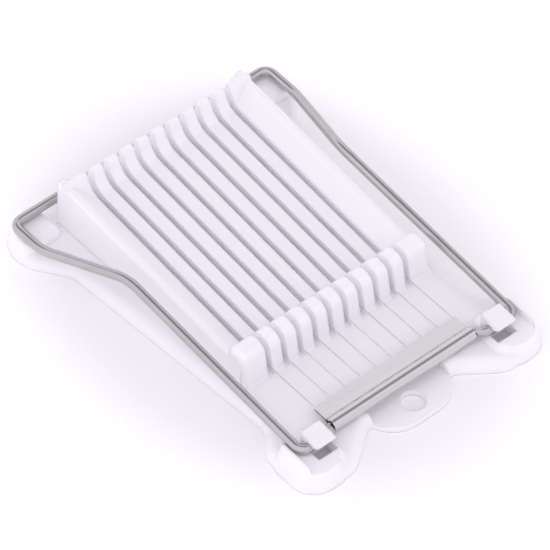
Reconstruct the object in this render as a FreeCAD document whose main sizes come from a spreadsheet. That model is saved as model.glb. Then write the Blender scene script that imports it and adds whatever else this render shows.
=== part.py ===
"""Egg slicer: a white moulded base with a ribbed tray, and a hinged steel frame strung with cutting wires.

Frame: X to the right, Y towards the handle end, Z up. The origin is under the middle of the base, on the
surface that it stands on. All sizes are in millimetres.
"""
import FreeCAD, Part
import Sketcher
import math
import os

Vector = FreeCAD.Vector

# Driving dimensions. Each is written once, here, and every shape below is worked out from them.
SIZES = {
    # overall: the base's length, and half of its width at the rear
    "length": 199.4,
    "ear_x": 75.6,
    # cutting wires and the slots that they pass through
    "wire_count": 10,
    "wire_pitch": 8.5,
    "wire_dia": 0.5,
    "slot_width": 2.6,
    # bent rod: its bends are given by their inside radius
    "rod_dia": 4.4,
    "running_gap": 0.05,
    "rest_gap": 0.4,
    "hinge_inset": 15.1,
    "hinge_z": 12.2,
    "crank_room": 4.26,
    "crank_step": 2.7,
    "crank_back": 4.2,
    "crank_down": 2.0,
    "arm_gap": 4.1,
    "arm_rise": 5.5,
    "splay_length": 44.0,
    "splay_drop": 10.5,
    "grip_length": 19.3,
    "bar_inset": 8.2,
    "bar_z": 12.6,
    "crank_bend": 0.3,
    "hinge_bend": 1.8,
    "arm_bend": 25.8,
    "handle_bend": 2.3,
    # folded strips and the crimped beads inside them
    "sheet": 0.6,
    "fold_reach": 2.75,
    "leaf_rise": 0.8,
    "leaf_front": 11.4,
    "leaf_rear": 6.6,
    "strip_margin": 0.95,
    "bead_dia": 1.2,
    "bead_length": 0.8,
    # base plate
    "plate_top": 6.8,
    "plate_edge": 5.4,
    "skirt": 2.4,
    "roof": 3.0,
    "foot_margin": 5.6,
    "foot_length": 29.0,
    "waist_margin": 4.6,
    "ear_margin": 2.4,
    "ear_length": 23.5,
    "ear_width": 23.1,
    "notch_gap": 2.4,
    "tab_half": 22.2,
    "tab_notch": 14.6,
    "tab_top": 3.0,
    "hang_hole": 11.0,
    "hang_inset": 12.3,
    # raised corners that carry the hooks and the handle
    "foot_flank": 38.0,
    "side_flank": 17.0,
    "flare": 0.8,
    "shoulder_rise": 0.8,
    "mound_round": 2.0,
    "block_round": 2.0,
    # hinge hooks
    "hook_width": 10.0,
    "hook_wall": 3.3,
    # ribbed tray
    "tray_front_inset": 59.1,
    "tray_rear_inset": 15.5,
    "wall_run": 10.95,
    "wall_height": 6.2,
    "wall_foot": 1.2,
    "wall_rim": 3.0,
    "bed_margin": 0.9,
    "bed_front_z": 12.2,
    "bed_slope": 6.8,
    "comb_front_rise": 12.0,
    "comb_rear_rise": 7.58,
    "comb_round": 3.0,
    "rib_wall": 1.5,
    "rib_roof": 2.0,
}

doc = FreeCAD.newDocument("egg_slicer")
sheet = doc.addObject("Spreadsheet::Sheet", "Sizes")
for row, (alias, value) in enumerate(SIZES.items(), start=1):
    sheet.set("A%d" % row, alias)
    sheet.set("B%d" % row, str(value))
    sheet.setAlias("B%d" % row, alias)
doc.recompute()


def size(alias):
    """A driving dimension, read back from the sheet."""
    return float(sheet.get(alias))


# Places that more than one piece needs.
front_y = -size("length") / 2
rear_y = size("length") / 2
ear_x = size("ear_x")
rod_radius = size("rod_dia") / 2
fold_radius = rod_radius + size("running_gap")
leaf_rise = size("leaf_rise")
wire_count = int(size("wire_count"))
wire_reach = (wire_count - 1) / 2 * size("wire_pitch")
wire_places = [index * size("wire_pitch") - wire_reach for index in range(wire_count)]
bed_half = wire_reach + size("slot_width") / 2 + size("bed_margin")
# Across the hinge, each place follows the one inside it: strip, hook, arm, foot.
strip_half = wire_reach + size("strip_margin")
crank_turn = math.atan2(math.hypot(size("crank_back"), size("crank_down")), size("crank_step"))
crank_reach = (size("crank_bend") + rod_radius) * math.tan(crank_turn / 2)
hook_inner = strip_half + crank_reach + size("crank_room")
hook_outer = hook_inner + size("hook_width")
arm_x = hook_outer + size("arm_gap")
foot_x = arm_x + rod_radius + size("foot_margin")
wrist_x = ear_x - size("ear_margin") - rod_radius
tray_half = bed_half - 0.2 + size("wall_run")
waist_x = tray_half + size("wall_foot") + size("waist_margin")
tray_front = front_y + size("tray_front_inset")
tray_rear = rear_y - size("tray_rear_inset")
hang_y = front_y + size("hang_inset")
hinge = Vector(0, front_y + size("hinge_inset"), size("hinge_z"))
curl = hinge + Vector(0, size("crank_back"), -size("crank_down"))
bar = Vector(0, rear_y - size("bar_inset"), size("bar_z"))
# The wires run just above the rod at the hinge end and just below it at the handle end.
wire_tilt = math.atan2(bar.z - curl.z, bar.y - curl.y) - math.asin(2 * leaf_rise / bar.distanceToPoint(curl))
wire_tilt = math.degrees(wire_tilt)
pad_top = hinge.z - rod_radius - size("running_gap")
shoulder_top = hinge.z + size("shoulder_rise")
ear_top = bar.z - rod_radius - size("rest_gap")
mound_foot = size("plate_top") - 2.5
notch_x = ear_x - size("ear_width")
notch_y = tray_rear + size("notch_gap")


def bed_height(y):
    """Height of the tray's ribs at a place along the tray."""
    return size("bed_front_z") + (y - tray_front - 20.6) * math.tan(math.radians(size("bed_slope")))


comb_front_top = size("bed_front_z") + size("comb_front_rise")
comb_rear_top = bed_height(tray_rear) + size("comb_rear_rise")


# Sketch helpers

def plane(body, role):
    """The body's own origin plane or axis with this role."""
    for feature in body.Origin.OriginFeatures:
        if feature.Role == role:
            return feature


def new_sketch(body, name, role, shift=0.0):
    """A sketch on an origin plane of the body, moved along the plane's normal."""
    sketch = body.newObject("Sketcher::SketchObject", name)
    sketch.AttachmentSupport = [(plane(body, role), "")]
    sketch.MapMode = "FlatFace"
    sketch.AttachmentOffset = FreeCAD.Placement(Vector(0, 0, shift), FreeCAD.Rotation())
    return sketch


def rounded(corners):
    """Edges of a closed outline: corners (x, y, radius) joined by lines, with tangent arcs at the corners."""
    count = len(corners)
    tangents = []
    for index in range(count):
        before = Vector(*corners[index - 1][:2], 0)
        here = Vector(*corners[index][:2], 0)
        after = Vector(*corners[(index + 1) % count][:2], 0)
        radius = corners[index][2]
        back = (before - here).normalize()
        ahead = (after - here).normalize()
        half = back.getAngle(ahead) / 2
        if radius <= 0:
            tangents.append((here, here, here))
            continue
        reach = radius / math.tan(half)
        middle = here + (back + ahead).normalize() * (radius / math.sin(half) - radius)
        tangents.append((here + back * reach, middle, here + ahead * reach))
    edges = []
    for index, (start, middle, end) in enumerate(tangents):
        if corners[index][2] > 0:
            edges.append(Part.Arc(start, middle, end))
        following = tangents[(index + 1) % count][0]
        if end.distanceToPoint(following) > 1e-6:
            edges.append(Part.LineSegment(end, following))
    return edges


def other_side(corners):
    """The mirror image of an outline about the middle plane."""
    return [(-x, y, radius) for x, y, radius in reversed(corners)]


def mirrored(corners):
    """The right half of an outline, followed by its mirror image, as one closed outline."""
    return corners + other_side(corners)


def draw(sketch, *outlines):
    """Puts closed outlines into a sketch."""
    for corners in outlines:
        sketch.addGeometry(rounded(corners), False)


def box(x_low, x_high, y_low, y_high, radius=0.0):
    """Corners of a rectangle."""
    return [(x_low, y_low, radius), (x_high, y_low, radius), (x_high, y_high, radius), (x_low, y_high, radius)]


def pad(body, name, sketch, length, symmetric=False):
    """A pad whose length is a number or an expression of the sheet."""
    feature = body.newObject("PartDesign::Pad", name)
    feature.Profile = sketch
    set_length(feature, length, symmetric)
    return feature


def pocket(body, name, sketch, length, symmetric=False, reverse=False):
    """A pocket, which has to take something away from the body."""
    doc.recompute()
    volume = body.Shape.Volume
    feature = body.newObject("PartDesign::Pocket", name)
    feature.Profile = sketch
    feature.Reversed = reverse
    set_length(feature, length, symmetric)
    doc.recompute()
    if body.Shape.Volume > volume - 1e-3:
        raise RuntimeError("nothing cut by " + name)
    return feature


def set_length(feature, length, symmetric):
    feature.SideType = "Symmetric" if symmetric else "One side"
    if isinstance(length, str):
        feature.setExpression("Length", length)
    else:
        feature.Length = length


def round_top(body, name, feature, top, radius):
    """Rounds the edges of a feature that lie at this height."""
    doc.recompute()
    rim = []
    for number, edge in enumerate(feature.Shape.Edges, start=1):
        if edge.BoundBox.ZMin > top - 1e-3 and edge.BoundBox.ZMax < top + 1e-3:
            rim.append("Edge%d" % number)
    edge_round = body.newObject("PartDesign::Fillet", name)
    edge_round.Base = (feature, rim)
    edge_round.setExpression("Radius", "Sizes." + radius)


def round_ends(body, name, feature, low):
    """Rounds the upper edges of the two end faces of a comb."""
    doc.recompute()
    rim = []
    for number, edge in enumerate(feature.Shape.Edges, start=1):
        span = edge.BoundBox
        if span.XLength < 1e-3 and abs(abs(span.XMin) - tray_half) < 1e-3 and span.ZMax > low:
            rim.append("Edge%d" % number)
    edge_round = body.newObject("PartDesign::Fillet", name)
    edge_round.Base = (feature, rim)
    edge_round.setExpression("Radius", "Sizes.comb_round")


def mirror(body, name, feature):
    """A feature repeated on the other side of the middle plane."""
    copy = body.newObject("PartDesign::Mirrored", name)
    copy.Originals = [feature]
    copy.MirrorPlane = (plane(body, "YZ_Plane"), [""])
    body.Tip = copy
    return copy


def row_of(body, name, feature, occurrences, spacing):
    """A feature repeated along X."""
    pattern = body.newObject("PartDesign::LinearPattern", name)
    pattern.Originals = [feature]
    pattern.Direction = (plane(body, "X_Axis"), [""])
    pattern.Length = (occurrences - 1) * spacing
    pattern.Occurrences = occurrences
    body.Tip = pattern
    return pattern


# Base moulding

def base_outline():
    """Right half of the base seen from above: front tab, front foot, waist and rear ear."""
    tab = size("tab_half")
    foot_end = front_y + size("foot_length")
    ear_start = rear_y - size("ear_length")
    return [
        (tab - 6.7, front_y + 2.6, 16.0),
        (tab, front_y + size("tab_notch"), 2.5),
        (hook_inner - 2.9, front_y, 12.0),
        (foot_x, front_y, 12.0),
        (foot_x, foot_end, 9.0),
        (waist_x, foot_end + 12.0, 10.0),
        (ear_x - 11.4, ear_start - 16.5, 14.0),
        (ear_x, ear_start, 9.0),
        (ear_x, rear_y, 17.0),
        (notch_x, rear_y, 6.0),
        (notch_x, notch_y, 2.0),
    ]


def hollow_outline():
    """Right half of the hollow under the base, one skirt inside the outline and clear of the front tab."""
    skirt = size("skirt")
    front = front_y + skirt
    rear = rear_y - skirt
    foot = foot_x - skirt
    ear = ear_x - skirt
    foot_end = front_y + size("foot_length") - 1.1
    ear_start = rear_y - size("ear_length") + 1.1
    return [
        (size("tab_half") + 0.8, front + 24.0, 4.0),
        (hook_inner - 2.9, front, 8.0),
        (foot, front, 9.6),
        (foot, foot_end, 6.6),
        (waist_x - skirt, foot_end + 12.5, 12.4),
        (ear - 11.4, ear_start - 16.8, 16.4),
        (ear, ear_start, 6.6),
        (ear, rear, 14.6),
        (notch_x + skirt, rear, 3.6),
        (notch_x + skirt, notch_y - skirt, 2.0),
    ]


def foot_mound():
    """The raised front corner under a hook, seen from above at the height of its foot."""
    spread = (pad_top - mound_foot) * math.tan(math.radians(size("foot_flank")))
    inner = hook_inner - 0.8 - spread
    return box(inner, foot_x - 1.2, front_y + 1.2, front_y + size("foot_length") + 1.0, 8.0)


def foot_block():
    """The steep outer side of a front corner at the ground, where it stands a little proud of the plate."""
    front = front_y - size("flare")
    outer = foot_x + size("flare")
    rear = front_y + size("foot_length")
    inner = hook_inner - 1.2
    return [(inner, front, 7.5), (outer, front, 12.0), (outer, rear, 9.0), (inner, rear, 7.5)]


def rod_room():
    """The part of a front corner that is cut down for the rod: all but its higher outer edge."""
    outer = arm_x + rod_radius + size("rest_gap") + 0.3
    return box(hook_inner - 14.0, outer, front_y - 4.0, front_y + size("foot_length") + 8.0)


def ear_block():
    """The raised rear corner under the handle at the ground, with the same steep sides."""
    inner = notch_x + 0.1
    outer = ear_x + size("flare")
    front = rear_y - size("ear_length") - 1.5
    rear = rear_y + size("flare")
    return [(inner, front, 6.0), (outer, front, 7.0), (outer, rear, 17.0), (inner, rear, 5.4)]


def front_comb():
    """Side view of the front comb, foot to foot, with its rounded top."""
    front = tray_front
    top = comb_front_top
    floor = size("plate_top") - 1.0
    return [
        (front - 1.8, floor, 0.0),
        (front - 1.2, size("plate_top"), 0.0),
        (front + 0.3, size("plate_top") + 1.6, 0.0),
        (front + 2.8, top, 5.2),
        (front + 13.2, top, 5.2),
        (front + 14.2, floor, 0.0),
    ]


def rear_comb():
    """Side view of the rear comb: its back leans forward, out of the way of the handle strip."""
    rear = tray_rear
    top = comb_rear_top
    floor = size("plate_top") - 1.0
    return [
        (rear - 17.0, floor, 0.0),
        (rear - 17.0, bed_height(rear - 17.0), 0.0),
        (rear - 8.6, bed_height(rear - 8.6), 8.0),
        (rear - 4.9, top, 1.1),
        (rear - 2.4, top, 1.1),
        (rear, floor, 0.0),
    ]


def tray_bed():
    """Side view of the ribs between the combs."""
    front = tray_front + 10.0
    rear = tray_rear - 6.0
    floor = size("plate_top") - 1.0
    return [
        (front, floor, 0.0),
        (front, bed_height(front), 0.0),
        (rear, bed_height(rear), 0.0),
        (rear, floor, 0.0),
    ]


def wall_section(y):
    """End view of the right side wall: an upright outer face with draft and a sloping inner face."""
    top = bed_height(y) + size("wall_height")
    inner = bed_half - 0.2
    outer = tray_half
    floor = size("plate_top") - 2.6
    return [
        (inner, floor, 0.0),
        (outer + size("wall_foot"), floor, 0.0),
        (outer, top, 1.2),
        (outer - size("wall_rim"), top, 1.2),
        (inner, bed_height(y), 0.0),
    ]


def hook_edges():
    """Side view of a hinge hook: a post behind the rod, and a roof over it that thins to a front edge."""
    seat = fold_radius
    wall = size("hook_wall")
    broken = 0.6
    cradle = math.radians(-50)
    y, z = hinge.y, hinge.z
    low = pad_top - 1.0
    rear = y + seat + wall
    front = y - seat - wall
    top = z + seat + wall
    grip = math.radians(150)
    rest = Vector(y + seat * math.cos(cradle), z + seat * math.sin(cradle), 0)
    held = Vector(y + seat * math.cos(grip), z + seat * math.sin(grip), 0)
    points = [
        rest,
        Vector(rest.x, low, 0),
        Vector(rear, low, 0),
        Vector(rear, top - broken, 0),
        Vector(rear - broken, top, 0),
        Vector(front + 0.4, top - 1.0, 0),
        Vector(front, top - 1.4, 0),
        Vector(front, top - 1.9, 0),
        held,
    ]
    edges = []
    for index in range(len(points) - 1):
        edges.append(Part.LineSegment(points[index], points[index + 1]))
    edges.append(Part.Arc(points[-1], Vector(y, z + seat, 0), rest))
    return edges


def make_base():
    body = doc.addObject("PartDesign::Body", "base_moulding")
    body.Label = "base_moulding"

    outline = new_sketch(body, "base_outline", "XY_Plane")
    draw(outline, mirrored(base_outline()))
    plate = pad(body, "plate", outline, "Sizes.plate_top")
    round_top(body, "plate_edge", plate, size("plate_top"), "plate_edge")

    for name, corners, foot, top, flank, radius in (
        ("shoulder", foot_block(), 0.0, shoulder_top, "side_flank", "mound_round"),
        ("ear", ear_block(), 0.0, ear_top, "side_flank", "block_round"),
    ):
        mound_sketch = new_sketch(body, name + "_outline", "XY_Plane", foot)
        draw(mound_sketch, corners, other_side(corners))
        mound = pad(body, name + "_mound", mound_sketch, top - foot)
        mound.setExpression("TaperAngle", "-Sizes." + flank)
        if radius:
            round_top(body, name + "_round", mound, top, radius)

    room_sketch = new_sketch(body, "rod_room_outline", "XY_Plane", shoulder_top + 1.0)
    draw(room_sketch, rod_room(), other_side(rod_room()))
    pocket(body, "rod_room", room_sketch, shoulder_top + 1.0 - pad_top)
    foot_sketch = new_sketch(body, "foot_outline", "XY_Plane", mound_foot)
    draw(foot_sketch, foot_mound(), other_side(foot_mound()))
    foot = pad(body, "foot_mound", foot_sketch, pad_top - mound_foot)
    foot.setExpression("TaperAngle", "-Sizes.foot_flank")

    bed = new_sketch(body, "bed_profile", "YZ_Plane")
    draw(bed, tray_bed())
    pad(body, "tray_bed", bed, 2 * bed_half, symmetric=True)
    combs = new_sketch(body, "comb_profiles", "YZ_Plane")
    draw(combs, front_comb())
    comb = pad(body, "front_comb", combs, 2 * tray_half, symmetric=True)
    round_ends(body, "front_comb_ends", comb, comb_front_top - 6.0)
    back = new_sketch(body, "rear_comb_profile", "YZ_Plane")
    draw(back, rear_comb())
    pad(body, "rear_comb", back, 2 * tray_half, symmetric=True)

    near_y = tray_front + 4.0
    far_y = tray_rear + 0.7
    near = new_sketch(body, "wall_near", "XZ_Plane", -near_y)
    draw(near, wall_section(near_y))
    far = new_sketch(body, "wall_far", "XZ_Plane", -far_y)
    draw(far, wall_section(far_y))
    wall = body.newObject("PartDesign::AdditiveLoft", "side_wall")
    wall.Profile = near
    wall.Sections = [far]
    wall.Ruled = True
    mirror(body, "side_wall_left", wall)

    hook_sketch = new_sketch(body, "hook_profile", "YZ_Plane", hook_inner)
    hook_sketch.addGeometry(hook_edges(), False)
    hook = pad(body, "hook", hook_sketch, "Sizes.hook_width")
    mirror(body, "hook_left", hook)

    slot_sketch = new_sketch(body, "slot_outline", "XY_Plane", comb_rear_top + 1.0)
    half = size("slot_width") / 2
    slot_ends = (tray_front - 2.0, tray_rear + 2.0)
    draw(slot_sketch, box(wire_places[0] - half, wire_places[0] + half, *slot_ends))
    slot = pocket(body, "slot", slot_sketch, comb_rear_top + 1.0 - size("plate_top"))
    row_of(body, "slots", slot, wire_count, size("wire_pitch"))

    front_edge = hinge.y - fold_radius - size("hook_wall") - 0.75
    rear_edge = hinge.y + 1.2
    window = box(hook_inner - 0.5, hook_outer - 0.1, front_edge, rear_edge)
    window_sketch = new_sketch(body, "window_outline", "XY_Plane", pad_top + 0.001)
    draw(window_sketch, window, other_side(window))
    pocket(body, "hook_windows", window_sketch, pad_top + 1.0)

    dip = new_sketch(body, "tab_dip", "YZ_Plane")
    draw(dip, [
        (front_y - 1.0, size("tab_top"), 0.0),
        (hang_y + 8.0, size("tab_top"), 4.0),
        (hang_y + 17.0, size("plate_top"), 0.0),
        (hang_y + 17.0, size("plate_top") + 3.0, 0.0),
        (front_y - 1.0, size("plate_top") + 3.0, 0.0),
    ])
    pocket(body, "tab_recess", dip, 2 * size("tab_half") - 2.4, symmetric=True)
    hole = new_sketch(body, "hang_outline", "XY_Plane", size("tab_top") + 1.0)
    hole.addGeometry(Part.Circle(Vector(0, hang_y, 0), Vector(0, 0, 1), size("hang_hole") / 2), False)
    across = hole.addConstraint(Sketcher.Constraint("Diameter", 0, size("hang_hole")))
    hole.setExpression("Constraints[%d]" % across, "Sizes.hang_hole")
    pocket(body, "hang_hole", hole, size("tab_top") + 2.0)

    under = new_sketch(body, "hollow_outline", "XY_Plane")
    draw(under, mirrored(hollow_outline()))
    pocket(body, "hollow", under, "Sizes.plate_top - Sizes.roof", reverse=True)

    rib_half = (size("wire_pitch") - size("slot_width")) / 2 - size("rib_wall")
    core_front = tray_front + 16.0
    core_rear = tray_rear - 12.0
    core_sketch = new_sketch(body, "core_profile", "YZ_Plane", wire_places[0] + size("wire_pitch") / 2)
    draw(core_sketch, [
        (core_front, 0.0, 0.0),
        (core_rear, 0.0, 0.0),
        (core_rear, bed_height(core_rear) - size("rib_roof"), 0.0),
        (core_front, bed_height(core_front) - size("rib_roof"), 0.0),
    ])
    core = pocket(body, "rib_core", core_sketch, 2 * rib_half, symmetric=True)
    row_of(body, "rib_cores", core, wire_count - 1, size("wire_pitch"))
    doc.recompute()
    return body


# Bent rod

def bent(points, radii):
    """A closed path: straight runs through the points, joined by tangent arcs."""
    count = len(points)
    ends = []
    for index in range(count):
        here = points[index]
        back = (points[index - 1] - here).normalize()
        ahead = (points[(index + 1) % count] - here).normalize()
        half = back.getAngle(ahead) / 2
        reach = radii[index] / math.tan(half)
        middle = here + (back + ahead).normalize() * (radii[index] / math.sin(half) - radii[index])
        ends.append((here + back * reach, middle, here + ahead * reach))
    edges = []
    for index, (start, middle, end) in enumerate(ends):
        edges.append(Part.Arc(start, middle, end).toShape())
        edges.append(Part.LineSegment(end, ends[(index + 1) % count][0]).toShape())
    return Part.Wire(edges)


def make_frame():
    """One rod bent into a closed frame: hinge run, two arms that splay out and down, handle bar."""
    rise = math.tan(math.radians(size("arm_rise")))
    wrist_y = bar.y - size("grip_length")
    elbow_y = wrist_y - size("splay_length")
    elbow = Vector(arm_x, elbow_y, hinge.z + (elbow_y - hinge.y) * rise)
    wrist = Vector(wrist_x, wrist_y, elbow.z - size("splay_drop"))
    crank_out = hook_inner - 1.6
    crank_in = crank_out - size("crank_step")
    right = [
        (Vector(crank_in, curl.y, curl.z), size("crank_bend")),
        (Vector(crank_out, hinge.y, hinge.z), size("crank_bend")),
        (Vector(arm_x, hinge.y, hinge.z), size("hinge_bend")),
        (elbow, size("arm_bend")),
        (wrist, size("arm_bend")),
        (Vector(wrist_x, bar.y, bar.z), size("handle_bend")),
    ]
    left = [(Vector(-point.x, point.y, point.z), inside) for point, inside in reversed(right)]
    points = [point for point, inside in right + left]
    radii = [inside + rod_radius for point, inside in right + left]
    path = bent(points, radii)
    start = path.Edges[1].valueAt(path.Edges[1].FirstParameter)
    along = path.Edges[1].tangentAt(path.Edges[1].FirstParameter)
    order = path.Edges[1:] + path.Edges[:1]
    ring = Part.Wire(Part.Circle(start, along, rod_radius).toShape())
    rod = Part.Wire(order).makePipeShell([ring], True, True)
    expected = math.pi * rod_radius ** 2 * path.Length
    print("rod volume / section times length: %.4f" % (rod.Volume / expected))
    piece = doc.addObject("Part::Feature", "wire_frame")
    piece.Label = "wire_frame"
    piece.Shape = rod
    piece.Placement = FreeCAD.Placement()
    return piece


# Folded strips

def touching(point, radius, side):
    """Where the line from a point touches a circle about the origin, on its upper (1) or lower (-1) side."""
    reach = math.hypot(point.x, point.y)
    angle = math.atan2(point.y, point.x) + side * math.acos(radius / reach)
    return Vector(radius * math.cos(angle), radius * math.sin(angle), 0)


def strip_outlines(leaf):
    """End view of a strip folded round the rod: its outer face with the leaf, and the teardrop inside."""
    thick = size("sheet")
    outer = fold_radius + thick
    tip = Vector(fold_radius + size("fold_reach"), leaf_rise, 0)
    high_in = touching(tip, fold_radius, 1)
    low_in = touching(tip, fold_radius, -1)
    high_out = high_in * (outer / fold_radius)
    low_out = low_in * (outer / fold_radius)

    def at_level(start, inner, level):
        along = tip - inner
        return start + along * ((level - start.y) / along.y)

    high_bend = at_level(high_out, high_in, leaf_rise + thick)
    low_bend = at_level(low_out, low_in, leaf_rise - thick)
    high_end = Vector(leaf, leaf_rise + thick, 0)
    low_end = Vector(leaf, leaf_rise - thick, 0)
    skin = [
        Part.Arc(high_out, Vector(-outer, 0, 0), low_out),
        Part.LineSegment(low_out, low_bend),
        Part.LineSegment(low_bend, low_end),
        Part.LineSegment(low_end, high_end),
        Part.LineSegment(high_end, high_bend),
        Part.LineSegment(high_bend, high_out),
    ]
    teardrop = [
        Part.Arc(high_in, Vector(-fold_radius, 0, 0), low_in),
        Part.LineSegment(low_in, tip),
        Part.LineSegment(tip, high_in),
    ]
    return skin + teardrop


def six_sided(x, y, room):
    """A small six-sided hole round a point, with this much room between the point and each side."""
    reach = room / math.cos(math.radians(30))
    turns = [math.radians(angle) for angle in range(0, 360, 60)]
    return [(x + reach * math.cos(turn), y + reach * math.sin(turn), 0.0) for turn in turns]


def make_strip(name, leaf, place, turn):
    """A strip with a tunnel for each wire along its leaf."""
    body = doc.addObject("PartDesign::Body", name)
    body.Label = name
    section = new_sketch(body, name + "_section", "YZ_Plane")
    section.addGeometry(strip_outlines(leaf), False)
    pad(body, name + "_fold", section, 2 * strip_half, symmetric=True)
    tunnels = new_sketch(body, name + "_tunnels", "XZ_Plane", -(leaf + 1.0))
    room = size("wire_dia") / 2 + size("running_gap")
    draw(tunnels, *[six_sided(x, leaf_rise, room) for x in wire_places])
    pocket(body, name + "_wire_holes", tunnels, leaf + 2.4 - fold_radius - size("fold_reach"), reverse=True)
    body.Placement = FreeCAD.Placement(place, turn)
    doc.recompute()
    return body


# Wires and their beads

def make_wires():
    """Straight wires between the two strips, with a bead crimped on each end inside the fold."""
    direction = FreeCAD.Rotation(Vector(1, 0, 0), wire_tilt)
    lengthwise = direction * FreeCAD.Rotation(Vector(0, 0, 1), Vector(0, 1, 0))
    along = direction.multVec(Vector(0, 1, 0))
    inset = math.sqrt(rod_radius ** 2 - leaf_rise ** 2) + 0.2
    first = curl + direction.multVec(Vector(0, inset, leaf_rise))
    last = bar + direction.multVec(Vector(0, -inset, -leaf_rise))
    span = first.distanceToPoint(last)
    pieces = []
    for number, x in enumerate(wire_places, start=1):
        start = first + Vector(x, 0, 0)
        wire = doc.addObject("Part::Cylinder", "cutting_wire_%02d" % number)
        wire.Label = "cutting_wire_%02d" % number
        wire.setExpression("Radius", "Sizes.wire_dia / 2")
        wire.Height = span
        wire.Placement = FreeCAD.Placement(start, lengthwise)
        pieces.append(wire)
        for end, shift in (("hinge", 0.0), ("handle", span - size("bead_length"))):
            label = "%s_bead_%02d" % (end, number)
            sleeve = doc.addObject("Part::Prism", label + "_sleeve")
            sleeve.Polygon = 6
            sleeve.setExpression("Circumradius", "Sizes.bead_dia / 2")
            sleeve.setExpression("Height", "Sizes.bead_length")
            bore = doc.addObject("Part::Prism", label + "_bore")
            bore.Polygon = 6
            bore.setExpression("Circumradius", "(Sizes.wire_dia / 2 + 0.02) / cos(30deg)")
            bore.setExpression("Height", "Sizes.bead_length")
            bead = doc.addObject("Part::Cut", label)
            bead.Label = label
            bead.Base = sleeve
            bead.Tool = bore
            bead.Placement = FreeCAD.Placement(start + along * shift, lengthwise)
            pieces.append(bead)
    return pieces


tilt = FreeCAD.Rotation(Vector(1, 0, 0), wire_tilt)
turned = FreeCAD.Rotation(Vector(1, 0, 0), wire_tilt + 180)
pieces = [make_base(), make_frame()]
pieces.append(make_strip("hinge_strip", size("leaf_front"), curl, tilt))
pieces.append(make_strip("handle_strip", size("leaf_rear"), bar, turned))
pieces += make_wires()
doc.recompute()

# Every object and every piece is checked before anything is written.
for item in doc.Objects:
    if "Invalid" in item.State or "Error" in item.State:
        raise RuntimeError("failed: " + item.Name)
for piece in pieces:
    if piece.Shape.isNull() or not piece.Shape.isValid() or len(piece.Shape.Solids) != 1:
        raise RuntimeError("not one sound solid: " + piece.Label)
os.makedirs("parts", exist_ok=True)
for piece in pieces:
    piece.Shape.exportStep(os.path.join("parts", piece.Label + ".step"))
print("wrote %d pieces" % len(pieces))
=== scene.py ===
# %% [markdown]
# # An egg slicer, finished for looks
#
# The slicer is a white moulded base with a ribbed tray, and a bright steel frame that swings over it
# on two hooks and pulls a row of thin wires through whatever lies in the tray. Its shape, joints and
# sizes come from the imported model. This script gives it its finishes, two finer strips, a floor, light
# and a camera.

import math

import bpy
import numpy as np
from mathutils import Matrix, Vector


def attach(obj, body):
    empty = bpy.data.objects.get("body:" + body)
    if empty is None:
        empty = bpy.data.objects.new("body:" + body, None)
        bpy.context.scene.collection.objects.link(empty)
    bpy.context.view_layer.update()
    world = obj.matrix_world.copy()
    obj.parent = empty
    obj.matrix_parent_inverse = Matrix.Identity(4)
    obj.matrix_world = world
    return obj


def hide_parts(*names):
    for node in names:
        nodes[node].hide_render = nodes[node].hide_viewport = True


MM = 1000

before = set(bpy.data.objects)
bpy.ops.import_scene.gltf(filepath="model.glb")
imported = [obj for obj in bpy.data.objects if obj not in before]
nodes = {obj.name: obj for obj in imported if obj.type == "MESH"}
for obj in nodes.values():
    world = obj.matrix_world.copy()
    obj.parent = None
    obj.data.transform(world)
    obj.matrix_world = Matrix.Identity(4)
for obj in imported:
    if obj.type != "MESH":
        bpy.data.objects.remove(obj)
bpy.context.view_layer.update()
scene = bpy.context.scene

# %% [markdown]
# ## The camera
#
# The picture was taken from the front left with a long lens, from well above: the sides of the tray
# stay almost parallel. A camera needs a place, a point to look at and a lens. The place is given as an
# angle round the object, a height above the floor and a distance, because those three can be read
# from the picture one after the other.

# %% Camera at the picture's angle
AZIMUTH = math.radians(-40.28)
ELEVATION = math.radians(48.55)
DISTANCE = 2.529
AIM = Vector((-0.0056, -0.0046, 0.0150))
PIXELS = 550
FOCAL_PIXELS = 5969.0
SENSOR_MM = 36.0
FAR_CLIP = 50.0

back = Vector((
    math.sin(AZIMUTH) * math.cos(ELEVATION),
    -math.cos(AZIMUTH) * math.cos(ELEVATION),
    math.sin(ELEVATION),
))
camera_data = bpy.data.cameras.new("camera")
camera_data.sensor_width = SENSOR_MM
camera_data.lens = SENSOR_MM * FOCAL_PIXELS / PIXELS
camera_data.clip_end = FAR_CLIP
camera = bpy.data.objects.new("camera", camera_data)
camera.location = AIM + back * DISTANCE
camera.rotation_euler = (-back).to_track_quat("-Z", "Y").to_euler()
scene.collection.objects.link(camera)
scene.camera = camera
print("camera at", [round(value, 3) for value in camera.location], "lens %.1f mm" % camera_data.lens)

# %% [markdown]
# ## The floor
#
# In the picture the slicer lies on plain white. A curved backdrop would give that, and so does a flat
# floor that runs far past the picture, which is simpler. A white floor in soft light still greys towards
# its far parts, so the paint has a faint glow of its own. The glow reaches its full strength only outside
# an oval round the object. Inside it the glow is weaker, which paints a soft shade on the floor round
# and under the object. That painted shade is kept because a brighter floor close by would hide the
# object's white outline.

# %% Floor
FLOOR_HALF = 6.0


def plain_floor(half):
    """A flat square: x and y run from minus half to plus half, and z is zero."""
    mesh = bpy.data.meshes.new("floor")
    corners = [(-half, -half, 0), (half, -half, 0), (half, half, 0), (-half, half, 0)]
    mesh.from_pydata(corners, [], [(0, 1, 2, 3)])
    return bpy.data.objects.new("floor", mesh)


floor = plain_floor(FLOOR_HALF)
scene.collection.objects.link(floor)
print("floor is", 2 * FLOOR_HALF, "m across")

# %% Floor paint
FLOOR_WHITE = (0.95, 0.95, 0.94, 1)
FLOOR_GLOW = 0.16
GLOW_IN_PAINTED_SHADE = 0.15
GLOW_OVAL = (1.3, 1.0, 0.0)
GLOW_FROM = 0.10
GLOW_FULL = 0.15

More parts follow.
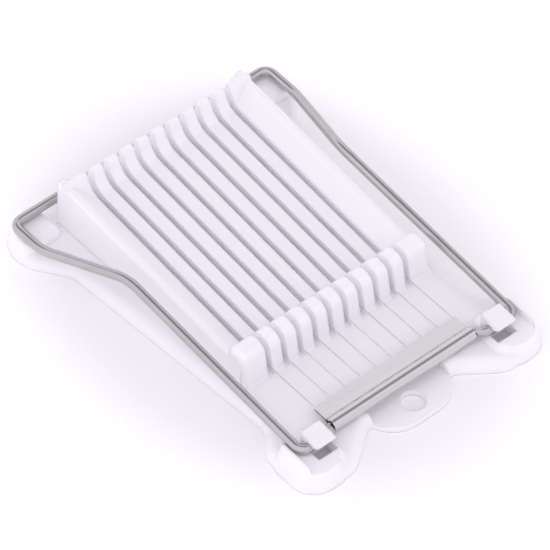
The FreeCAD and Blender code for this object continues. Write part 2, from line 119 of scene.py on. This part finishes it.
floor_paint = bpy.data.materials.new("floor_paint")
floor_paint.use_nodes = True
paint = floor_paint.node_tree.nodes["Principled BSDF"]
paint.inputs["Base Color"].default_value = FLOOR_WHITE
paint.inputs["Roughness"].default_value = 0.8
paint.inputs["Specular IOR Level"].default_value = 0.2
paint.inputs["Emission Strength"].default_value = FLOOR_GLOW

coat = floor_paint.node_tree
spot = coat.nodes.new("ShaderNodeTexCoord")
oval = coat.nodes.new("ShaderNodeVectorMath")
oval.operation = "MULTIPLY"
oval.inputs[1].default_value = GLOW_OVAL
away = coat.nodes.new("ShaderNodeVectorMath")
away.operation = "LENGTH"
# Inside the oval the floor glows at only a small share of its full strength: a painted shade round the
# object.
glow = coat.nodes.new("ShaderNodeMapRange")
glow.interpolation_type = "SMOOTHSTEP"
glow.inputs["From Min"].default_value = GLOW_FROM
glow.inputs["From Max"].default_value = GLOW_FULL
glow.inputs["To Min"].default_value = GLOW_IN_PAINTED_SHADE
coat.links.new(spot.outputs["Object"], oval.inputs[0])
coat.links.new(oval.outputs["Vector"], away.inputs[0])
coat.links.new(away.outputs["Value"], glow.inputs["Value"])
coat.links.new(glow.outputs["Result"], paint.inputs["Emission Color"])
floor.data.materials.append(floor_paint)
print("the floor's glow is full from", GLOW_FULL, "m outwards")

# %% [markdown]
# ## The light
#
# White plastic is shown by its shading alone, and bright steel by what it mirrors. Lamps would put hard
# spots on both. A white tent round the object lights the plastic softly from every side, but steel inside
# an all-white tent would look white as well. The way out is to leave two openings in the tent, which are
# dim round patches. One stands where the rod's arms mirror it as a dark line, and the other where the
# folded strip does. The tent leans: it is a little brighter to the left and overhead. It has a trace of
# lavender, which the plastic takes up.

# %% A white tent with two dim openings
TENT = 0.965
TENT_TINT = (1.0, 0.972, 1.05, 1)
LEAN = Vector((-0.08, 0.03, 0.16))
DIM = 0.37
OPENING_EDGE = math.radians(4)
OPENINGS = [
    (Vector((0.0, 0.505, 0.86)), math.radians(19)),
    (Vector((0.428, 0.12, 0.89)), math.radians(16)),
]
DIFFUSE_BOUNCES = 12
ALL_BOUNCES = 16

world = bpy.data.worlds.new("tent")
world.use_nodes = True
sky = world.node_tree
background = sky.nodes["Background"]
direction = sky.nodes.new("ShaderNodeTexCoord")


def along(axis):
    """How far the direction of view points along an axis: their dot product."""
    node = sky.nodes.new("ShaderNodeVectorMath")
    node.operation = "DOT_PRODUCT"
    node.inputs[1].default_value = axis
    sky.links.new(direction.outputs["Generated"], node.inputs[0])
    return node.outputs["Value"]


def opening(middle, radius):
    """One outside a round patch of the tent and DIM inside it, with a soft edge."""
    node = sky.nodes.new("ShaderNodeMapRange")
    node.interpolation_type = "SMOOTHSTEP"
    node.inputs["From Min"].default_value = math.cos(radius + OPENING_EDGE)
    node.inputs["From Max"].default_value = math.cos(radius - OPENING_EDGE)
    node.inputs["To Min"].default_value = 1.0
    node.inputs["To Max"].default_value = DIM
    sky.links.new(along(middle.normalized()), node.inputs["Value"])
    return node.outputs["Result"]


lean = sky.nodes.new("ShaderNodeMath")
lean.operation = "ADD"
lean.inputs[1].default_value = TENT
sky.links.new(along(LEAN), lean.inputs[0])
brightness = lean.outputs["Value"]
for middle, radius in OPENINGS:
    product = sky.nodes.new("ShaderNodeMath")
    product.operation = "MULTIPLY"
    sky.links.new(brightness, product.inputs[0])
    sky.links.new(opening(middle, radius), product.inputs[1])
    brightness = product.outputs["Value"]
sky.links.new(brightness, background.inputs["Strength"])
background.inputs["Color"].default_value = TENT_TINT
scene.world = world
scene.view_settings.view_transform = "Standard"
scene.cycles.diffuse_bounces = DIFFUSE_BOUNCES
scene.cycles.max_bounces = ALL_BOUNCES
print("tent %.2f, openings at %.2f of it:" % (TENT, DIM), len(OPENINGS))

# %% [markdown]
# ## Effects that several finishes share
#
# No real surface is one flat colour. A moulding drifts a little in tone, rolled and drawn steel has fine
# lines along the way it was made, and handling leaves faint marks that show only in the gloss. One node
# group gives all of these: a slow drift between two tones, and a fine cloud that sets the gloss and a
# very small relief. Its Stretch input draws both out into lines. Each finish could have such nodes of
# its own, but a group is built once, and each finish only sets its own tones and scale.

# %% Surface drift and marks
def new_group(name, inputs, outputs):
    """An empty node group with named sockets: (name, socket type, first value)."""
    group = bpy.data.node_groups.new(name, "ShaderNodeTree")
    for label, kind, value in inputs:
        socket = group.interface.new_socket(label, in_out="INPUT", socket_type=kind)
        socket.default_value = value
    for label, kind in outputs:
        group.interface.new_socket(label, in_out="OUTPUT", socket_type=kind)
    return group, group.nodes.new("NodeGroupInput"), group.nodes.new("NodeGroupOutput")


def add(tree, kind, **values):
    """A node of this kind; a value names an input socket, with spaces written as underscores."""
    node = tree.nodes.new(kind)
    for label, value in values.items():
        node.inputs[label.replace("_", " ")].default_value = value
    return node


marks, marks_in, marks_out = new_group(
    "surface_marks",
    [
        ("Stretch", "NodeSocketVector", (1.0, 1.0, 1.0)),
        ("Scale", "NodeSocketFloat", 900.0),
        ("Drift Scale", "NodeSocketFloat", 40.0),
        ("Tone Low", "NodeSocketColor", (0.5, 0.5, 0.5, 1)),
        ("Tone High", "NodeSocketColor", (0.6, 0.6, 0.6, 1)),
        ("Rough Low", "NodeSocketFloat", 0.2),
        ("Rough High", "NodeSocketFloat", 0.3),
    ],
    [("Tone", "NodeSocketColor"), ("Roughness", "NodeSocketFloat"), ("Height", "NodeSocketFloat")],
)
join = marks.links.new
where = marks.nodes.new("ShaderNodeTexCoord")
drawn = marks.nodes.new("ShaderNodeVectorMath")
drawn.operation = "MULTIPLY"
cloud = add(marks, "ShaderNodeTexNoise", Detail=4.0, Roughness=0.6)
drift = add(marks, "ShaderNodeTexNoise", Detail=2.0, Roughness=0.5)
gloss = add(marks, "ShaderNodeMapRange", From_Min=0.35, From_Max=0.65)
share = add(marks, "ShaderNodeMapRange", From_Min=0.35, From_Max=0.65)
tone = marks.nodes.new("ShaderNodeMix")
tone.data_type = "RGBA"
join(where.outputs["Object"], drawn.inputs[0])
join(marks_in.outputs["Stretch"], drawn.inputs[1])
join(drawn.outputs["Vector"], cloud.inputs["Vector"])
join(drawn.outputs["Vector"], drift.inputs["Vector"])
join(marks_in.outputs["Scale"], cloud.inputs["Scale"])
join(marks_in.outputs["Drift Scale"], drift.inputs["Scale"])
join(cloud.outputs["Fac"], gloss.inputs["Value"])
join(marks_in.outputs["Rough Low"], gloss.inputs["To Min"])
join(marks_in.outputs["Rough High"], gloss.inputs["To Max"])
join(drift.outputs["Fac"], share.inputs["Value"])
join(share.outputs["Result"], tone.inputs["Factor"])
join(marks_in.outputs["Tone Low"], tone.inputs["A"])
join(marks_in.outputs["Tone High"], tone.inputs["B"])
join(tone.outputs["Result"], marks_out.inputs["Tone"])
join(gloss.outputs["Result"], marks_out.inputs["Roughness"])
join(cloud.outputs["Fac"], marks_out.inputs["Height"])
print("groups:", [group.name for group in bpy.data.node_groups])

# %% [markdown]
# ## The white moulding
#
# The base is one glossy white plastic moulding. Its edges have a small radius, and the Bevel node bends
# the shading at each edge as that radius would. A little light enters such plastic and comes out nearby,
# which keeps its shadows pale: that is the subsurface part. Light reaches the bottom of the slots only
# after many turns between white walls, so it was given more diffuse bounces above.

# %% White plastic
EDGE_RADIUS = 0.0012
EDGE_SAMPLES = 6
RELIEF_DEPTH = 0.0002
RELIEF_STRENGTH = 0.03


def finish(name, low, high, **marks_values):
    """A new material: its shader takes tone, gloss and a very small relief from the surface marks."""
    material = bpy.data.materials.new(name)
    material.use_nodes = True
    tree = material.node_tree
    shader = tree.nodes["Principled BSDF"]
    effect = tree.nodes.new("ShaderNodeGroup")
    effect.node_tree = marks
    effect.inputs["Tone Low"].default_value = (*low, 1)
    effect.inputs["Tone High"].default_value = (*high, 1)
    for label, value in marks_values.items():
        effect.inputs[label.replace("_", " ")].default_value = value
    relief = add(tree, "ShaderNodeBump", Strength=RELIEF_STRENGTH, Distance=RELIEF_DEPTH)
    tree.links.new(effect.outputs["Tone"], shader.inputs["Base Color"])
    tree.links.new(effect.outputs["Roughness"], shader.inputs["Roughness"])
    tree.links.new(effect.outputs["Height"], relief.inputs["Height"])
    tree.links.new(relief.outputs["Normal"], shader.inputs["Normal"])
    return material, tree, shader, relief


def soften(tree, relief, radius):
    """Lets the relief start from edges that are rounded to this radius."""
    edges = add(tree, "ShaderNodeBevel", Radius=radius)
    edges.samples = EDGE_SAMPLES
    tree.links.new(edges.outputs["Normal"], relief.inputs["Normal"])


white_plastic, tree, shader, relief = finish(
    "white_plastic", (0.950, 0.940, 0.964), (0.957, 0.948, 0.970),
    Scale=160.0, Drift_Scale=25.0, Rough_Low=0.17, Rough_High=0.25,
)
shader.inputs["IOR"].default_value = 1.53
shader.inputs["Subsurface Weight"].default_value = 0.4
shader.inputs["Subsurface Radius"].default_value = (1.0, 1.0, 1.0)
shader.inputs["Subsurface Scale"].default_value = 0.003
soften(tree, relief, EDGE_RADIUS)
print("made", white_plastic.name)

# %% [markdown]
# ## The steel
#
# The rod is drawn and polished, so it mirrors the tent with only a slight blur. The folded strips are
# rolled sheet with fine lines along their length. The wires are drawn hard steel. All three are the same
# metal: they differ in how bright and how sharp their reflections are. So the function that made the
# plastic makes them too, with other tones, a closer gloss and a stretch along the way they were made.

# %% Polished rod, rolled strip, drawn wire
STRIP_RELIEF_STRENGTH = 0.01

polished_rod, _, shader, _ = finish(
    "polished_rod", (0.49, 0.475, 0.465), (0.53, 0.515, 0.505),
    Scale=700.0, Drift_Scale=60.0, Rough_Low=0.10, Rough_High=0.17,
)
shader.inputs["Metallic"].default_value = 1.0

rolled_strip, _, shader, relief = finish(
    "rolled_strip", (0.640, 0.629, 0.612), (0.662, 0.650, 0.633),
    Stretch=(0.03, 1.0, 1.0), Scale=1500.0, Drift_Scale=500.0, Rough_Low=0.11, Rough_High=0.18,
)
shader.inputs["Metallic"].default_value = 1.0
relief.inputs["Strength"].default_value = STRIP_RELIEF_STRENGTH

drawn_wire, _, shader, _ = finish(
    "drawn_wire", (0.66, 0.66, 0.67), (0.74, 0.74, 0.75),
    Stretch=(1.0, 0.05, 1.0), Scale=2500.0, Drift_Scale=200.0, Rough_Low=0.22, Rough_High=0.32,
)
shader.inputs["Metallic"].default_value = 1.0
print("steel finishes:", [steel.name for steel in (polished_rod, rolled_strip, drawn_wire)])

# %% [markdown]
# ## Which piece has which finish
#
# On the real slicer the base is plastic and everything else is steel. The finishes could be set piece by
# piece, but the wires and the beads at their ends share one. A rule on the name of the piece is shorter
# and leaves none out.

# %% Each piece gets its finish
for name, node in nodes.items():
    if name == "base_moulding":
        dress = white_plastic
    elif name == "wire_frame":
        dress = polished_rod
    elif name.endswith("_strip"):
        dress = rolled_strip
    else:
        dress = drawn_wire
    for slot in node.material_slots:
        slot.material = dress
print("dressed", len(nodes), "pieces")

# %% [markdown]
# ## The folded strips
#
# At each end of the wires a strip of thin sheet is bent round the rod and pressed together behind it.
# The result is a round curl with a flat double leaf, and the wires run out between the leaf's two layers.
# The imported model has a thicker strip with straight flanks, which is right for collision. For looks, the
# fold has to be round right up to the crease, because the crease draws a dark line along the strip. So
# each strip is made again as a sheet: its section is a line of straights and arcs that touch, the other
# face is the same line set in by the thickness, and the section is carried along the strip.

# %% The section of a strip
SHEET = 0.0003
CURL_RADIUS = 0.00285
HUMP_RADIUS = 0.0040
HUMP_MEETS_CURL = math.radians(115)
CREASE_RADIUS = 0.00035
TOE_RADIUS = 0.0006
TOE_REACH = 0.0043
LEAF_RISE = 0.0008
LEAF_HALF = 0.0006
HINGE_LEAF = 0.0114
CREASE_POINTS = 8
HUMP_POINTS = 20
CURL_POINTS = 34
TOE_POINTS = 10


def arc(middle, radius, start, end, count):
    """Points on a circle: the middle plus the radius times (cos, sin) of angles from start to end."""
    angles = np.linspace(start, end, count)
    return np.asarray(middle) + radius * np.stack([np.cos(angles), np.sin(angles)], axis=1)


def outer_face(leaf):
    """The outside of the fold: upper leaf, crease, hump over the beads, curl, toe, lower leaf.

    Each arc touches the next one: the hump's middle lies behind the curl's by the difference of
    their radii, and the crease's middle lies the sum of its radius and the hump's from the hump's.
    From the curl to the toe runs a straight line that touches both.
    """
    high = LEAF_RISE + LEAF_HALF
    low = LEAF_RISE - LEAF_HALF
    meet = np.array((math.cos(HUMP_MEETS_CURL), math.sin(HUMP_MEETS_CURL)))
    hump = (CURL_RADIUS - HUMP_RADIUS) * meet
    rise = high + CREASE_RADIUS - hump[1]
    reach = math.sqrt((HUMP_RADIUS + CREASE_RADIUS) ** 2 - rise ** 2)
    crease = (hump[0] + reach, high + CREASE_RADIUS)
    flank = math.atan2(rise, reach)
    toe = (TOE_REACH, low - TOE_RADIUS)
    toe_away = math.hypot(*toe)
    below = math.atan2(toe[1], toe[0]) - math.acos((CURL_RADIUS + TOE_RADIUS) / toe_away)
    return np.concatenate([
        [(leaf, high)],
        arc(crease, CREASE_RADIUS, -math.pi / 2, flank - math.pi, CREASE_POINTS),
        arc(hump, HUMP_RADIUS, flank, HUMP_MEETS_CURL, HUMP_POINTS)[1:],
        arc((0, 0), CURL_RADIUS, HUMP_MEETS_CURL, 2 * math.pi + below, CURL_POINTS)[1:],
        arc(toe, TOE_RADIUS, below + math.pi, math.pi / 2, TOE_POINTS),
        [(leaf, low)],
    ])


def inner_face(outer):
    """The inside of the fold: the outside moved by the thickness along its normal.

    The normal is the direction of the line, turned left by a quarter.
    """
    heading = np.gradient(outer, axis=0)
    heading /= np.linalg.norm(heading, axis=1, keepdims=True)
    return outer + SHEET * np.stack([-heading[:, 1], heading[:, 0]], axis=1)


print("points round one face of the section:", len(outer_face(HINGE_LEAF)))

# %% [markdown]
# ## From the section to a strip
#
# A real strip has the same fold all along its length. A curve with a bevel profile could give that, but
# on a grid every face is known: each column is the section at one place along the rod, and four-sided
# faces join a column to the next. Both ends are closed, so the sheet is solid. The leaves point at each
# other along the wires. Each lies a little off the middle of the rod, on opposite sides, and the tilt of
# the wires allows for that.

# %% A strip, carried along the rod
STRIP_HALF = 0.0392
SHARP_FROM = math.radians(40)


def folded_strip(name, leaf, place, turn, columns=25):
    """A section carried along x: the loop of outer and inner points, turned and moved to the rod."""
    outer = outer_face(leaf)
    inner = inner_face(outer)
    loop = np.concatenate([outer, inner[::-1]])
    cosine = math.cos(turn)
    sine = math.sin(turn)
    turned = loop @ np.array([[cosine, sine], [-sine, cosine]])
    x = np.linspace(-STRIP_HALF, STRIP_HALF, columns)
    points = np.empty((columns, len(loop), 3))
    points[:, :, 0] = x[:, None]
    points[:, :, 1:] = turned + place
    ring = np.arange(len(loop))
    after = (ring + 1) % len(loop)
    here = (np.arange(columns - 1) * len(loop))[:, None]
    ahead = here + len(loop)
    sides = np.stack([here + ring, here + after, ahead + after, ahead + ring], axis=-1)
    edge = np.arange(len(outer) - 1)
    cap = np.stack([edge, len(loop) - 1 - edge, len(loop) - 2 - edge, edge + 1], axis=-1)
    far_cap = (columns - 1) * len(loop) + cap[:, ::-1]
    faces = np.concatenate([sides.reshape(-1, 4), cap, far_cap])
    mesh = bpy.data.meshes.new(name)
    mesh.from_pydata(points.reshape(-1, 3).tolist(), [], faces.tolist())
    mesh.polygons.foreach_set("use_smooth", np.ones(len(faces), dtype=bool))
    mesh.set_sharp_from_angle(angle=SHARP_FROM)
    mesh.update()
    piece = bpy.data.objects.new(name, mesh)
    scene.collection.objects.link(piece)
    piece.data.materials.append(rolled_strip)
    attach(piece, "cutter")
    return piece


print("a strip is %.1f mm long" % (2 * STRIP_HALF * MM))

# %% Both strips in their places
HANDLE_LEAF = 0.0066
CURL_AT = np.array((-0.0804, 0.0102))
BAR_AT = np.array((0.0915, 0.0126))

span = BAR_AT - CURL_AT
wire_tilt = math.atan2(span[1], span[0]) - math.asin(2 * LEAF_RISE / np.linalg.norm(span))
hinge_fold = folded_strip("hinge_fold", HINGE_LEAF, CURL_AT, wire_tilt)
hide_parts("hinge_strip")
handle_fold = folded_strip("handle_fold", HANDLE_LEAF, BAR_AT, wire_tilt + math.pi)
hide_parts("handle_strip")
print("the wires tilt by %.2f degrees" % math.degrees(wire_tilt))

# %% How much sheet is in them
def enclosed(piece):
    """The volume inside a closed mesh: a sum over its triangles, positive if the faces point outwards."""
    piece.data.calc_loop_triangles()
    corners = np.array([vertex.co for vertex in piece.data.vertices])
    triangles = np.array([triangle.vertices for triangle in piece.data.loop_triangles])
    a, b, c = corners[triangles[:, 0]], corners[triangles[:, 1]], corners[triangles[:, 2]]
    return float(np.sum(a * np.cross(b, c)) / 6)


volumes = [round(enclosed(piece) * MM ** 3, 1) for piece in (hinge_fold, handle_fold)]
print("sheet in the strips, mm3:", volumes)
